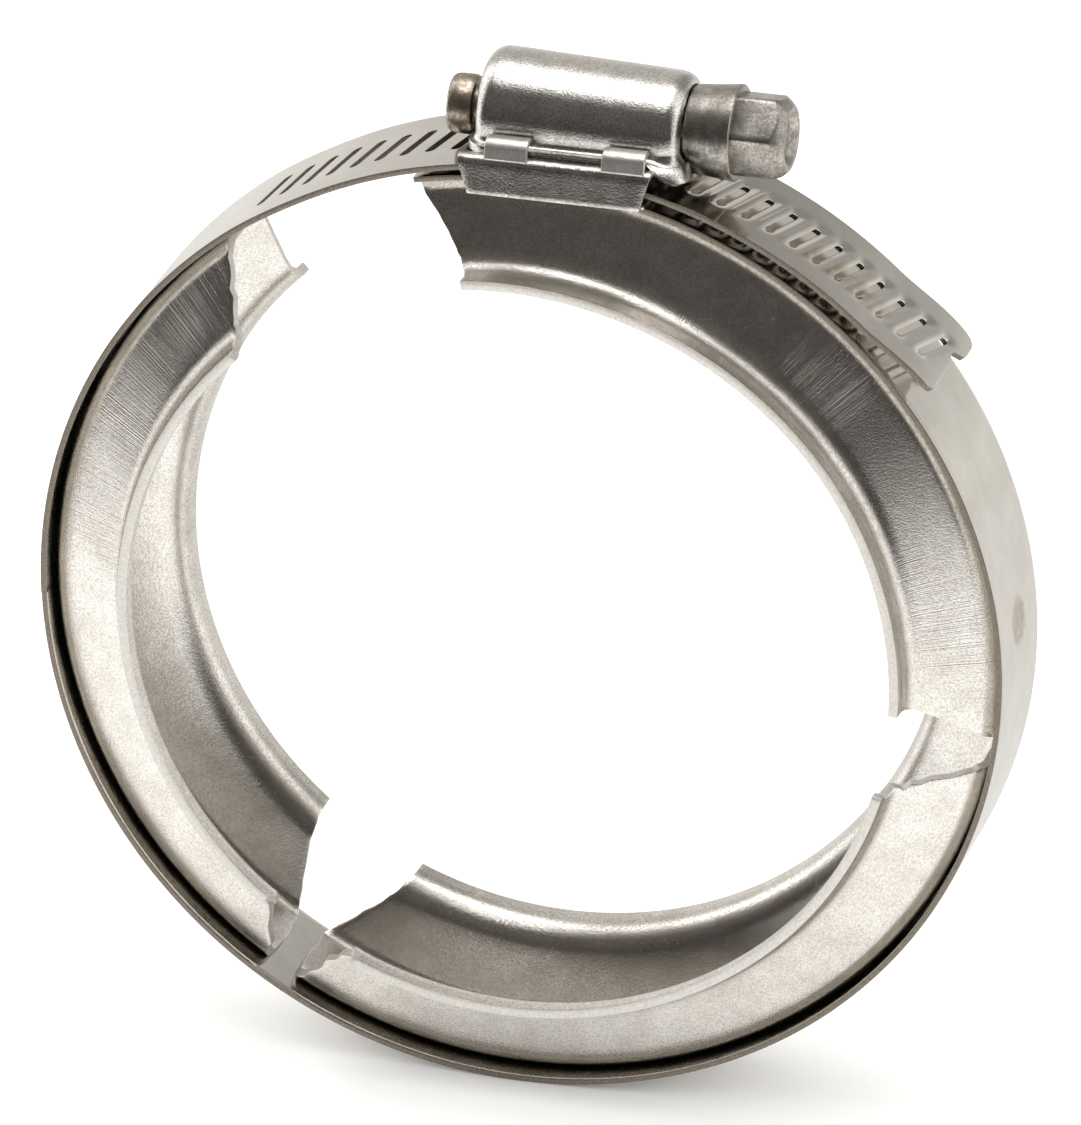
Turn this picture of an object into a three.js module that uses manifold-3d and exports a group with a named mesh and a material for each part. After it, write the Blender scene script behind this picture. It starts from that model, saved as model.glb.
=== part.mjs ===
// V-retainer band clamp with a worm-drive screw.
// Millimetres, +Z up. The ring's axis is Y and the origin is the ring's centre.
// The screw lies on top of the ring, along X, with its hex head at the +X end.
// Angles are measured in the XZ plane from +X towards +Z.

import * as THREE from 'three';
import { mergeVertices } from 'three/addons/utils/BufferGeometryUtils.js';
import Module from 'manifold-3d';

const wasm = await Module();
wasm.setup();

// ---------------------------------------------------------------- driving sizes

const RING_RADIUS = 49;              // outside of the band
const BAND_THICKNESS = 0.6;
const BAND_WIDTH = 14.3;
const SEAT_GAP = 0.3;                // clearance between pieces that lie on each other

// V-section retainers, as a centre line from the middle of the base to the lip
const RETAINER_SHEET = 1.0;
const RETAINER_BASE_HALF = 4.9;      // half width where the base turns into the leg
const RETAINER_KNEE = { across: 7.0, radius: 41.8 };
const RETAINER_LIP = { across: 11.2, radius: 38.9 };
const RETAINER_BEND = 1.5;           // bend radius of the centre line
const RETAINER_BEND_STEPS = 2;
const RETAINER_STEPS = 28;
const RETAINER_SPARE = 3;            // degrees swept beyond each end before it is cut
// each retainer: angle of the base's end and of the lip's end, at both ends
const RETAINERS = [
  { name: 'retainer_top', start: 102.8, startLip: 96.6, end: -7.4, endLip: -3.0 },
  { name: 'retainer_lower', start: -10.9, startLip: -16.6, end: -119.8, endLip: -114.0 },
  { name: 'retainer_left', start: -123.4, startLip: -129.2, end: -231.8, endLip: -225.4 },
];

// the band bends in the three gaps between the retainers
const FLEX_RIGHT = -9.1;
const FLEX_LOWER = -121.6;
const FLEX_LEFT = -233.6;
const BAND_START = 102.4;            // fixed end, under the housing
const BAND_STEP = 3;                 // degrees
// the ring is pressed flatter under the housing
const FLAT = { from: 25, to: 85, depth: 0.7 };
const FLEX_SLIT = 0.4;               // clearance between two band sections at a flex line

// the slotted end of the band lies outside the fixed end, on an arc of its own
const STRAP_CENTRE = { x: 1.47, z: 0 };
const STRAP_RADIUS = 49.6;           // outside of the strap, about its own centre
const STRAP_LEAVES_RING = 127;       // the strap eases from the ring's circle to its own
const STRAP_ON_OWN_ARC = 113;
const STRAP_END = 36.7;
const STRAP_STEPS = 45;
const STRAP_CURL = { from: 47, rise: 1.0 };   // the free end stands off
const SLOT_COUNT = 28;
const SLOT_FIRST = 124.3;            // angles about the strap's own centre
const SLOT_LAST = 40.3;
const SLOT_LENGTH = 6.1;
const SLOT_WIDTH = 1.0;
const SLOT_SLANT = 14.5;             // degrees from square across the band
const SLOT_CUT_DEPTH = 4;
const SLOT_CURVE_STEPS = 3;

// screw
const SCREW_HEIGHT = 52.45;
const SCREW_SIDES = { boss: 24, thread: 16, collar: 32, hexEnvelope: 36 };
const BOSS = { from: -8.4, to: -5.9, radius: 2.95, edge: 0.3, run: 0.6 };
const THREAD = { from: -5.9, to: 14.6, crest: 2.35, root: 1.75, pitch: 2.68, rowsPerTurn: 6 };
const THREAD_CREST_SHARE = 0.2;      // of the pitch; each flank takes as much
const COLLAR = {
  from: 14.6, neck: 16.4, to: 20.4, neckRadius: 3.9, radius: 4.75, edge: 0.3, run: 0.6,
};
// the hexagon has a turned chamfer and a dished end
const HEX = {
  to: 25.5, acrossFlats: 7.7, turn: 14.2, chamfer: 0.7, face: 3.15, dish: 2.5, dishDepth: 0.7, dishSlope: 0.6,
};

// housing
const DOME = { from: -4.8, to: 15.6, radius: 6.15, sheet: 0.8, endRound: 1.8, taper: 0.1 };
const DOME_STEPS = { around: 16, endRound: 3, hole: 24 };
const DOME_BELOW = 3;                // how far the blank reaches below the foot before it is trimmed
const HOLE_CLEARANCE = 0.35;         // around the screw's boss and collar
const HOLE_DEPTH = 2;
const DOME_FOOT = 50.3;              // underside of the dome's flange
const DOME_FLANGE_HALF = 7.3;
const DOME_FLANGE_SHEET = 0.9;
const DOME_FLANGE_CORNER = 2.2;
const DOME_FLANGE_INSET = { left: 0.3, right: 0.1 };
const SADDLE = {
  from: -5.6, to: 13.9, sheet: 0.7, edgeHalf: 8.8, edgeHeight: 49.62, edgeInside: 7.3, bend: 0.5,
};
const SADDLE_FLOOR = { gap: 0.05, sheet: 0.42, start: 96.2, end: 74.5, inset: 0.1, steps: 8 };
const SADDLE_SKIRT = { half: 8.0, height: 47.1 };
const SADDLE_END_SLANT = 1.2;        // the skirt's ends are cut back by this
const FOLD_STEPS = 3;                // facets around each fold
const TAB_CENTRES = [-0.68, 11.0];
const TAB_WIDTH = 4.3;
const TAB_SHEET = 0.6;
const TAB_HALF = 8.15;               // outside of the tabs, across the band
const TAB_BEND = 0.6;
const TAB_OVER_FLANGE = 0.21;        // clearance between a tab and the flange below it
const TAB_TO_DOME = 0.35;            // clearance between a tab's end and the dome's side

// ---------------------------------------------------------------- finishes

const finish = (color, roughness) => new THREE.MeshStandardMaterial({ color, roughness, metalness: 1 });
const bandSteel = finish(0xcbc6bf, 0.32);
const retainerSteel = finish(0xbdb7b0, 0.28);
const housingSteel = finish(0xc8c4bd, 0.2);
const screwSteel = finish(0x9a9388, 0.38);

// ---------------------------------------------------------------- solids

const CUTTER_SIZE = 40;              // larger than any end that is cut off
const WELD_DISTANCE = 1e-4;
const radians = THREE.MathUtils.degToRad;

function solidOf(geometry) {
  geometry.deleteAttribute('normal');
  geometry.deleteAttribute('uv');
  const merged = mergeVertices(geometry, WELD_DISTANCE);
  const corners = merged.index.array;
  const kept = [];
  for (let i = 0; i < corners.length; i += 3) {
    const [a, b, c] = [corners[i], corners[i + 1], corners[i + 2]];
    if (a !== b && b !== c && c !== a) kept.push(a, b, c);
  }
  const vertProperties = new Float32Array(merged.attributes.position.array);
  const mesh = new wasm.Mesh({ numProp: 3, vertProperties, triVerts: new Uint32Array(kept) });
  return new wasm.Manifold(mesh);
}

function geometryOf(solid) {
  const mesh = solid.getMesh();
  const geometry = new THREE.BufferGeometry();
  geometry.setAttribute('position', new THREE.BufferAttribute(new Float32Array(mesh.vertProperties), 3));
  geometry.setIndex(new THREE.BufferAttribute(new Uint32Array(mesh.triVerts), 1));
  geometry.computeVertexNormals();
  return geometry;
}

// A polyline with its inner corners rounded by arcs.
function roundedLine(points, bend, arcSteps) {
  const line = [points[0].clone()];
  for (let i = 1; i < points.length - 1; i += 1) {
    const corner = points[i];
    const back = points[i - 1].clone().sub(corner).normalize();
    const ahead = points[i + 1].clone().sub(corner).normalize();
    const half = Math.acos(THREE.MathUtils.clamp(back.dot(ahead), -1, 1)) / 2;
    const centre = back.clone().add(ahead).normalize().multiplyScalar(bend / Math.sin(half)).add(corner);
    const from = back.multiplyScalar(bend / Math.tan(half)).add(corner).sub(centre);
    const to = ahead.multiplyScalar(bend / Math.tan(half)).add(corner).sub(centre);
    const sweep = Math.atan2(from.cross(to), from.dot(to));
    for (let k = 0; k <= arcSteps; k += 1) {
      line.push(from.clone().rotateAround(new THREE.Vector2(), (sweep * k) / arcSteps).add(centre));
    }
  }
  line.push(points[points.length - 1].clone());
  return line;
}

// The outline of a sheet of constant thickness that follows a centre line.
function sheetShape(line, thickness) {
  const left = [];
  const right = [];
  line.forEach((point, i) => {
    const before = line[Math.max(i - 1, 0)];
    const after = line[Math.min(i + 1, line.length - 1)];
    const along = after.clone().sub(before).normalize();
    const side = new THREE.Vector2(-along.y, along.x).multiplyScalar(thickness / 2);
    left.push(point.clone().add(side));
    right.push(point.clone().sub(side));
  });
  return new THREE.Shape([...right, ...left.reverse()]);
}

// A section (across, radius) swept clockwise around the Y axis, from one angle to a lower one.
function sweepRound(shape, from, to, steps, lift = () => 0) {
  const depth = radians(from - to);
  const geometry = new THREE.ExtrudeGeometry(shape, { depth, steps, bevelEnabled: false });
  const position = geometry.attributes.position;
  for (let i = 0; i < position.count; i += 1) {
    const angle = radians(from) - position.getZ(i);
    const radius = position.getY(i) + lift(angle);
    position.setXYZ(i, radius * Math.cos(angle), position.getX(i), radius * Math.sin(angle));
  }
  return solidOf(geometry);
}

// A section (Y, Z) extruded along X; height(x, z) may lower or raise its points.
function extrudeAlongX(shape, from, to, options = {}, height = (x, z) => z) {
  const geometry = new THREE.ExtrudeGeometry(shape, { depth: to - from, bevelEnabled: false, ...options });
  const position = geometry.attributes.position;
  for (let i = 0; i < position.count; i += 1) {
    const x = from + position.getZ(i);
    position.setXYZ(i, x, position.getX(i), height(x, position.getY(i)));
  }
  return solidOf(geometry);
}

function box(x0, x1, y0, y1, z0, z1) {
  const geometry = new THREE.BoxGeometry(x1 - x0, y1 - y0, z1 - z0);
  return solidOf(geometry.translate((x0 + x1) / 2, (y0 + y1) / 2, (z0 + z1) / 2));
}

// A solid of revolution about the screw's axis; the profile holds (distance along X, radius) pairs.
function turned(profile, segments) {
  const points = profile.map(([along, radius]) => new THREE.Vector2(radius, along));
  const geometry = new THREE.LatheGeometry(points, segments);
  return solidOf(geometry.rotateZ(-Math.PI / 2).translate(0, 0, SCREW_HEIGHT));
}

// A rectangle across the band, between two radii.
function bandSection(outerRadius) {
  const half = BAND_WIDTH / 2;
  const inner = outerRadius - BAND_THICKNESS;
  return new THREE.Shape([
    new THREE.Vector2(-half, inner),
    new THREE.Vector2(half, inner),
    new THREE.Vector2(half, outerRadius),
    new THREE.Vector2(-half, outerRadius),
  ]);
}

// Everything within reach on the far side of a line through two points of the XZ plane.
function cutOff(from, to, size = CUTTER_SIZE) {
  const along = to.clone().sub(from).normalize();
  const middle = from.clone().add(to).multiplyScalar(0.5);
  const geometry = new THREE.BoxGeometry(size, size, size);
  geometry.translate(0, 0, size / 2);
  geometry.rotateY(-Math.atan2(along.y, along.x));
  return solidOf(geometry.translate(middle.x, 0, middle.y));
}

function polar(radius, angle) {
  return new THREE.Vector2(radius, 0).rotateAround(new THREE.Vector2(), radians(angle));
}

// ---------------------------------------------------------------- retainers

function retainerShape() {
  const top = RING_RADIUS - BAND_THICKNESS - SEAT_GAP - RETAINER_SHEET / 2;
  const side = [
    new THREE.Vector2(RETAINER_BASE_HALF, top),
    new THREE.Vector2(RETAINER_KNEE.across, RETAINER_KNEE.radius),
    new THREE.Vector2(RETAINER_LIP.across, RETAINER_LIP.radius),
  ];
  const mirrored = side.map((point) => new THREE.Vector2(-point.x, point.y)).reverse();
  return sheetShape(roundedLine([...mirrored, ...side], RETAINER_BEND, RETAINER_BEND_STEPS), RETAINER_SHEET);
}

function retainer({ start, startLip, end, endLip }) {
  const base = RING_RADIUS - BAND_THICKNESS - SEAT_GAP;
  const [first, last] = [start + RETAINER_SPARE, end - RETAINER_SPARE];
  const whole = sweepRound(retainerShape(), first, last, RETAINER_STEPS, ringLift);
  const startCut = cutOff(polar(RETAINER_LIP.radius, startLip), polar(base, start));
  const endCut = cutOff(polar(base, end), polar(RETAINER_LIP.radius, endLip));
  return whole.subtract(startCut).subtract(endCut);
}

// ---------------------------------------------------------------- band

const slitAngle = THREE.MathUtils.radToDeg(FLEX_SLIT / 2 / RING_RADIUS);

function bandPiece(from, to) {
  const steps = Math.round((from - to) / BAND_STEP);
  return sweepRound(bandSection(RING_RADIUS), from, to, steps, ringLift);
}

// The ring's circle is lowered a little under the housing; angles are in radians.
function ringLift(angle) {
  const towards = THREE.MathUtils.smoothstep(angle, radians(FLAT.from), radians(FLAT.to));
  return -FLAT.depth * towards;
}

// How far the strap's own arc lies outside the ring's circle, at an angle about the ring's centre.
function strapLift(angle) {
  const along = STRAP_CENTRE.x * Math.cos(angle) + STRAP_CENTRE.z * Math.sin(angle);
  const across = STRAP_CENTRE.x * Math.sin(angle) - STRAP_CENTRE.z * Math.cos(angle);
  const radius = along + Math.sqrt(STRAP_RADIUS ** 2 - across ** 2);
  const leave = radians(STRAP_LEAVES_RING);
  const share = THREE.MathUtils.smoothstep(leave - angle, 0, radians(STRAP_LEAVES_RING - STRAP_ON_OWN_ARC));
  const curl = 1 - THREE.MathUtils.smoothstep(angle, radians(STRAP_END), radians(STRAP_CURL.from));
  return share * (radius - RING_RADIUS) + STRAP_CURL.rise * curl;
}

function slotCutter(angle) {
  const half = SLOT_LENGTH / 2 - SLOT_WIDTH / 2;
  const shape = new THREE.Shape();
  shape.absarc(0, half, SLOT_WIDTH / 2, 0, Math.PI, false);
  shape.absarc(0, -half, SLOT_WIDTH / 2, Math.PI, 2 * Math.PI, false);
  const geometry = new THREE.ExtrudeGeometry(shape, {
    depth: SLOT_CUT_DEPTH, bevelEnabled: false, curveSegments: SLOT_CURVE_STEPS,
  });
  geometry.translate(0, 0, STRAP_RADIUS - SLOT_CUT_DEPTH / 2);
  geometry.rotateZ(-radians(SLOT_SLANT));
  geometry.rotateY(Math.PI / 2 - radians(angle));
  return solidOf(geometry.translate(STRAP_CENTRE.x, 0, STRAP_CENTRE.z));
}

function strap() {
  const from = FLEX_LEFT + 360 - slitAngle;
  let solid = sweepRound(bandSection(RING_RADIUS), from, STRAP_END, STRAP_STEPS, strapLift);
  const pitch = (SLOT_FIRST - SLOT_LAST) / (SLOT_COUNT - 1);
  for (let k = 0; k <= SLOT_COUNT; k += 1) {
    solid = solid.subtract(slotCutter(SLOT_FIRST - k * pitch));
  }
  return solid;
}

// ---------------------------------------------------------------- screw

function threadSolid() {
  const length = THREAD.to - THREAD.from;
  const rows = Math.round((length / THREAD.pitch) * THREAD.rowsPerTurn);
  const geometry = new THREE.CylinderGeometry(1, 1, length, SCREW_SIDES.thread, rows);
  const position = geometry.attributes.position;
  for (let i = 0; i < position.count; i += 1) {
    const [x, y, z] = [position.getX(i), position.getY(i), position.getZ(i)];
    const phase = THREE.MathUtils.euclideanModulo(y / THREAD.pitch - Math.atan2(z, x) / (2 * Math.PI), 1);
    const beyondCrest = Math.abs(phase - 0.5) - THREAD_CREST_SHARE / 2;
    const rise = THREE.MathUtils.clamp(1 - beyondCrest / THREAD_CREST_SHARE, 0, 1);
    const radius = THREAD.root + (THREAD.crest - THREAD.root) * rise;
    position.setXYZ(i, x * radius, y, z * radius);
  }
  geometry.rotateZ(-Math.PI / 2);
  return solidOf(geometry.translate((THREAD.from + THREAD.to) / 2, 0, SCREW_HEIGHT));
}

function hexSolid() {
  const corner = HEX.acrossFlats / 2 / Math.cos(Math.PI / 6);
  const outline = new THREE.Shape();
  for (let k = 0; k < 6; k += 1) {
    const angle = Math.PI - radians(HEX.turn + 60 * k);
    const point = [corner * Math.cos(angle), SCREW_HEIGHT + corner * Math.sin(angle)];
    if (k === 0) outline.moveTo(...point);
    else outline.lineTo(...point);
  }
  const envelope = turned([
    [COLLAR.to - 1, 0],
    [COLLAR.to - 1, corner + 1],
    [HEX.to - HEX.chamfer, corner],
    [HEX.to, HEX.face],
    [HEX.to, HEX.dish],
    [HEX.to - HEX.dishDepth, HEX.dish - HEX.dishSlope],
    [HEX.to - HEX.dishDepth, 0],
  ], SCREW_SIDES.hexEnvelope);
  return extrudeAlongX(outline, COLLAR.to - COLLAR.run, HEX.to).intersect(envelope);
}

function screw() {
  const boss = turned([
    [BOSS.from, 0],
    [BOSS.from, BOSS.radius - BOSS.edge],
    [BOSS.from + BOSS.edge, BOSS.radius],
    [BOSS.to, BOSS.radius],
    [BOSS.to + BOSS.run, THREAD.root],
    [BOSS.to + BOSS.run, 0],
  ], SCREW_SIDES.boss);
  const collar = turned([
    [COLLAR.from - COLLAR.run, 0],
    [COLLAR.from - COLLAR.run, THREAD.root],
    [COLLAR.from, THREAD.root],
    [COLLAR.from, COLLAR.neckRadius - COLLAR.edge],
    [COLLAR.neck, COLLAR.neckRadius],
    [COLLAR.to - COLLAR.edge, COLLAR.radius],
    [COLLAR.to, COLLAR.radius - COLLAR.edge],
    [COLLAR.to, 0],
  ], SCREW_SIDES.collar);
  return boss.add(threadSolid()).add(collar).add(hexSolid());
}

// ---------------------------------------------------------------- housing

// The dome's section in (Y, Z): a half round on straight sides.
function domeShape(shrink, foot) {
  const radius = DOME.radius - shrink;
  const shape = new THREE.Shape();
  shape.moveTo(0, foot);
  shape.lineTo(radius, foot);
  shape.absarc(0, SCREW_HEIGHT, radius, 0, Math.PI, false);
  shape.lineTo(-radius, foot);
  return shape;
}

// The dome is lower at the hex end than at the other end.
function taperedHeight(x, z) {
  const share = (x - DOME.from) / (DOME.to - DOME.from);
  return DOME_FOOT + (z - DOME_FOOT) * (1 - DOME.taper * share);
}

function roundedDome(shrink) {
  const round = DOME.endRound - shrink * 0.5;
  const options = {
    curveSegments: DOME_STEPS.around,
    bevelEnabled: true,
    bevelSegments: DOME_STEPS.endRound,
    bevelSize: round,
    bevelThickness: round,
  };
  const from = DOME.from + shrink + round;
  const to = DOME.to - shrink - round;
  const section = domeShape(shrink + round, DOME_FOOT - DOME_BELOW);
  return extrudeAlongX(section, from, to, options, taperedHeight);
}

// The flange around the dome's foot, with round corners at the hex end.
function domeFlange() {
  const corner = DOME_FLANGE_CORNER;
  const half = DOME_FLANGE_HALF;
  const left = DOME.from + DOME_FLANGE_INSET.left;
  const right = DOME.to - DOME_FLANGE_INSET.right;
  const outline = new THREE.Shape();
  outline.moveTo(left, -half);
  outline.lineTo(right - corner, -half);
  outline.absarc(right - corner, -half + corner, corner, -Math.PI / 2, 0, false);
  outline.absarc(right - corner, half - corner, corner, 0, Math.PI / 2, false);
  outline.lineTo(left, half);
  const geometry = new THREE.ExtrudeGeometry(outline, {
    depth: DOME_FLANGE_SHEET, bevelEnabled: false, curveSegments: 4,
  });
  const inside = DOME.radius - DOME.sheet / 2;
  const plate = solidOf(geometry.translate(0, 0, DOME_FOOT));
  return plate.subtract(box(DOME.from - 1, DOME.to + 1, -inside, inside, DOME_FOOT - 1, DOME_FOOT + 2));
}

// A plug along the screw's axis that opens one end wall of the dome.
function screwHole(from, to, radius) {
  return turned([[from, 0], [from, radius], [to, radius], [to, 0]], DOME_STEPS.hole);
}

function dome() {
  const reach = DOME_FLANGE_HALF + 2;
  const below = box(DOME.from - 1, DOME.to + 1, -reach, reach, DOME_FOOT - 2 * DOME_BELOW, DOME_FOOT);
  const bossWay = screwHole(DOME.from - 1, DOME.from + HOLE_DEPTH, BOSS.radius + HOLE_CLEARANCE);
  const collarWay = screwHole(DOME.to - HOLE_DEPTH, DOME.to + 1, COLLAR.neckRadius + HOLE_CLEARANCE);
  const shell = roundedDome(0).subtract(roundedDome(DOME.sheet));
  return shell.subtract(bossWay).subtract(collarWay).subtract(below).add(domeFlange());
}

// One side rail of the saddle: the skirt beside the band and the edge rolled in over it.
function saddleRail(side) {
  const t = SADDLE.sheet;
  const line = roundedLine([
    new THREE.Vector2(side * (SADDLE_SKIRT.half - t / 2), SADDLE_SKIRT.height),
    new THREE.Vector2(side * (SADDLE.edgeHalf - t / 2), SADDLE.edgeHeight - t / 2),
    new THREE.Vector2(side * SADDLE.edgeInside, SADDLE.edgeHeight - t / 2),
  ], SADDLE.bend, FOLD_STEPS);
  const shape = sheetShape(side < 0 ? line : line.reverse(), t);
  const rail = extrudeAlongX(shape, SADDLE.from, SADDLE.to);
  const low = SADDLE_SKIRT.height - 0.5;
  const high = SADDLE.edgeHeight + 0.2;
  const left = new THREE.Vector2(SADDLE.from + SADDLE_END_SLANT, low);
  const right = new THREE.Vector2(SADDLE.to - SADDLE_END_SLANT, low);
  return rail
    .subtract(cutOff(left, new THREE.Vector2(SADDLE.from, high)))
    .subtract(cutOff(new THREE.Vector2(SADDLE.to, high), right));
}

// A tab of the saddle, folded up beside the dome's flange and over it.
function saddleTab(side, centre) {
  const t = TAB_SHEET;
  const top = DOME_FOOT + DOME_FLANGE_SHEET + TAB_OVER_FLANGE;
  const outside = TAB_HALF - t / 2;
  const line = roundedLine([
    new THREE.Vector2(side * outside, SADDLE.edgeHeight - t),
    new THREE.Vector2(side * outside, top + t / 2),
    new THREE.Vector2(side * (DOME.radius + TAB_TO_DOME), top + t / 2),
  ], TAB_BEND, FOLD_STEPS);
  const shape = sheetShape(side < 0 ? line.reverse() : line, t);
  return extrudeAlongX(shape, centre - TAB_WIDTH / 2, centre + TAB_WIDTH / 2);
}

function saddle() {
  const floorOuter = RING_RADIUS + SADDLE_FLOOR.gap + SADDLE_FLOOR.sheet;
  const floorHalf = SADDLE_SKIRT.half - SADDLE_FLOOR.inset;
  const section = new THREE.Shape([
    new THREE.Vector2(-floorHalf, floorOuter - SADDLE_FLOOR.sheet),
    new THREE.Vector2(floorHalf, floorOuter - SADDLE_FLOOR.sheet),
    new THREE.Vector2(floorHalf, floorOuter),
    new THREE.Vector2(-floorHalf, floorOuter),
  ]);
  let solid = sweepRound(section, SADDLE_FLOOR.start, SADDLE_FLOOR.end, SADDLE_FLOOR.steps, ringLift);
  [-1, 1].forEach((side) => {
    solid = solid.add(saddleRail(side));
    TAB_CENTRES.forEach((centre) => {
      solid = solid.add(saddleTab(side, centre));
    });
  });
  return solid;
}

// ---------------------------------------------------------------- assembly

const clamp = new THREE.Group();

function addPiece(name, solid, material) {
  const mesh = new THREE.Mesh(geometryOf(solid), material);
  mesh.name = name;
  clamp.add(mesh);
}

RETAINERS.forEach((ends) => addPiece(ends.name, retainer(ends), retainerSteel));
addPiece('band_fixed_section', bandPiece(BAND_START, FLEX_RIGHT + slitAngle), bandSteel);
addPiece('band_lower_section', bandPiece(FLEX_RIGHT - slitAngle, FLEX_LOWER + slitAngle), bandSteel);
addPiece('band_left_section', bandPiece(FLEX_LOWER - slitAngle, FLEX_LEFT + slitAngle), bandSteel);
addPiece('slotted_strap', strap(), bandSteel);
addPiece('housing_saddle', saddle(), housingSteel);
addPiece('housing_dome', dome(), housingSteel);
addPiece('worm_screw', screw(), screwSteel);

export default clamp;
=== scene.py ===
# V-retainer band clamp with a worm-drive screw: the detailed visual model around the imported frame.
# Shapes are written in millimetres and degrees, and converted to metres when a mesh is made.
# Ring angles are measured in the XZ plane from +X towards +Z; the ring's axis is Y.

import math

import bpy
import numpy as np
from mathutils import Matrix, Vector, noise


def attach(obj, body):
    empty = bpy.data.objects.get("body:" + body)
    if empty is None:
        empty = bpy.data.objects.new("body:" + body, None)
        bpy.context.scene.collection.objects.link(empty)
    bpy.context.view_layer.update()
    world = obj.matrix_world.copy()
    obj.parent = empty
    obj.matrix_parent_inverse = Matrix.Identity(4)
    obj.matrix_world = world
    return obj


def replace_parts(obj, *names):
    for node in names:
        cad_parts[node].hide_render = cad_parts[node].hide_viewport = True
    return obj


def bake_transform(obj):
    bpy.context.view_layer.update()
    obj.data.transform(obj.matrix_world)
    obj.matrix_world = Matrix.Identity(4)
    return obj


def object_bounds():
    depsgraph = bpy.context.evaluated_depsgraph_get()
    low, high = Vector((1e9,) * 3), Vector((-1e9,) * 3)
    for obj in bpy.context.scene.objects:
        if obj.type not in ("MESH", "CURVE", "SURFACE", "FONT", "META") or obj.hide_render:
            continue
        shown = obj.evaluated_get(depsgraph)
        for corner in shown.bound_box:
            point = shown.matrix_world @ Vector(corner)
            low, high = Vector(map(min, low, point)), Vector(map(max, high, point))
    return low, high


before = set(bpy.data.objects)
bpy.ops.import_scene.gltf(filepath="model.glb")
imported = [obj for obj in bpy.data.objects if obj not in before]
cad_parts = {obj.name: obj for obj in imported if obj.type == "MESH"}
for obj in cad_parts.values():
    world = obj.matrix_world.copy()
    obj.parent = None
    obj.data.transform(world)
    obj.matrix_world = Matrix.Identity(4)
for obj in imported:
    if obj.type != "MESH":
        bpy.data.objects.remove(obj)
CAD_LOW, CAD_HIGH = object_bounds()

MM = 0.001

# ---------------------------------------------------------------- sizes shared with the frame

RING_RADIUS = 49.0
BAND_THICKNESS = 0.6
BAND_HALF = 7.15
SEAT_GAP = 0.05                        # the retainers are welded on; the CAD's solids keep 0.3 mm here
BAND_START = 102.4
FLAT_FROM, FLAT_TO, FLAT_DEPTH = 25.0, 85.0, 0.7

RETAINER_SHEET = 1.0
RETAINER_BASE_HALF = 4.9
RETAINER_KNEE = (7.95, 39.3)
RETAINER_LIP = (11.42, 39.2)

STRAP_CENTRE_X = 1.47
STRAP_RADIUS = 49.6
STRAP_LEAVES_RING, STRAP_ON_OWN_ARC = 127.0, 113.0
STRAP_END, STRAP_CURL_FROM, STRAP_CURL_RISE = 36.7, 47.0, 1.0
SLOT_COUNT = 28
SLOT_FIRST, SLOT_LAST = 124.3, 40.3
SLOT_LENGTH, SLOT_WIDTH, SLOT_SLANT = 6.1, 1.0, 14.5

SCREW_HEIGHT = 52.45
DOME_FROM, DOME_TO, DOME_RADIUS, DOME_SHEET, DOME_ROUND, DOME_TAPER = -4.8, 15.6, 6.15, 0.8, 1.8, 0.1
DOME_FOOT, FLANGE_TOP, FLANGE_HALF = 50.3, 51.2, 7.3
SADDLE_FROM, SADDLE_TO, SADDLE_SHEET = -5.6, 13.9, 0.7
SADDLE_EDGE_HALF, SADDLE_EDGE_HEIGHT, SADDLE_EDGE_INSIDE = 8.8, 50.75, 7.45
SKIRT_HALF, SKIRT_HEIGHT = 9.3, 47.0
TAB_CENTRES, TAB_WIDTH, TAB_SHEET, TAB_HALF, TAB_TOP = (-0.68, 11.0), 4.3, 0.6, 8.3, 52.35


def smoothstep(value, low, high):
    share = min(max((value - low) / (high - low), 0.0), 1.0)
    return share * share * (3 - 2 * share)


def lerp(a, b, share):
    return a + (b - a) * share


def polar(radius, angle, across):
    a = math.radians(angle)
    return (radius * math.cos(a), across, radius * math.sin(a))


def ring_lift(angle):
    """How far the band lies outside the ring's circle: less than 0 where it is flatter."""
    return -FLAT_DEPTH * smoothstep(angle, FLAT_FROM, FLAT_TO)


def strap_lift(angle):
    """How far the strap lies outside the ring's circle, at an angle about the ring's centre."""
    a = math.radians(angle)
    reach = math.sqrt(STRAP_RADIUS ** 2 - (STRAP_CENTRE_X * math.sin(a)) ** 2)
    radius = STRAP_CENTRE_X * math.cos(a) + reach
    share = smoothstep(STRAP_LEAVES_RING - angle, 0, STRAP_LEAVES_RING - STRAP_ON_OWN_ARC)
    curl = 1 - smoothstep(angle, STRAP_END, STRAP_CURL_FROM)
    return share * (radius - RING_RADIUS) + STRAP_CURL_RISE * curl


def ragged(place, seed, scale, height):
    """A smooth random offset along a torn edge."""
    return noise.noise(Vector((place * scale, seed * 7.31, seed * 1.7))) * height


# ---------------------------------------------------------------- materials


def new_material(name):
    material = bpy.data.materials.new(name)
    material.use_nodes = True
    tree = material.node_tree
    return material, tree, tree.nodes["Principled BSDF"]


def object_coordinates(tree):
    return tree.nodes.new("ShaderNodeTexCoord").outputs["Object"]


def noise_node(tree, vector, scale, detail=3.0, roughness=0.5):
    node = tree.nodes.new("ShaderNodeTexNoise")
    node.inputs["Scale"].default_value = scale
    node.inputs["Detail"].default_value = detail
    node.inputs["Roughness"].default_value = roughness
    tree.links.new(vector, node.inputs["Vector"])
    return node.outputs["Fac"]


def map_range(tree, value, low, high, to_low, to_high):
    node = tree.nodes.new("ShaderNodeMapRange")
    node.clamp = True
    node.inputs["From Min"].default_value = low
    node.inputs["From Max"].default_value = high
    node.inputs["To Min"].default_value = to_low
    node.inputs["To Max"].default_value = to_high
    tree.links.new(value, node.inputs["Value"])
    return node.outputs["Result"]


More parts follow.
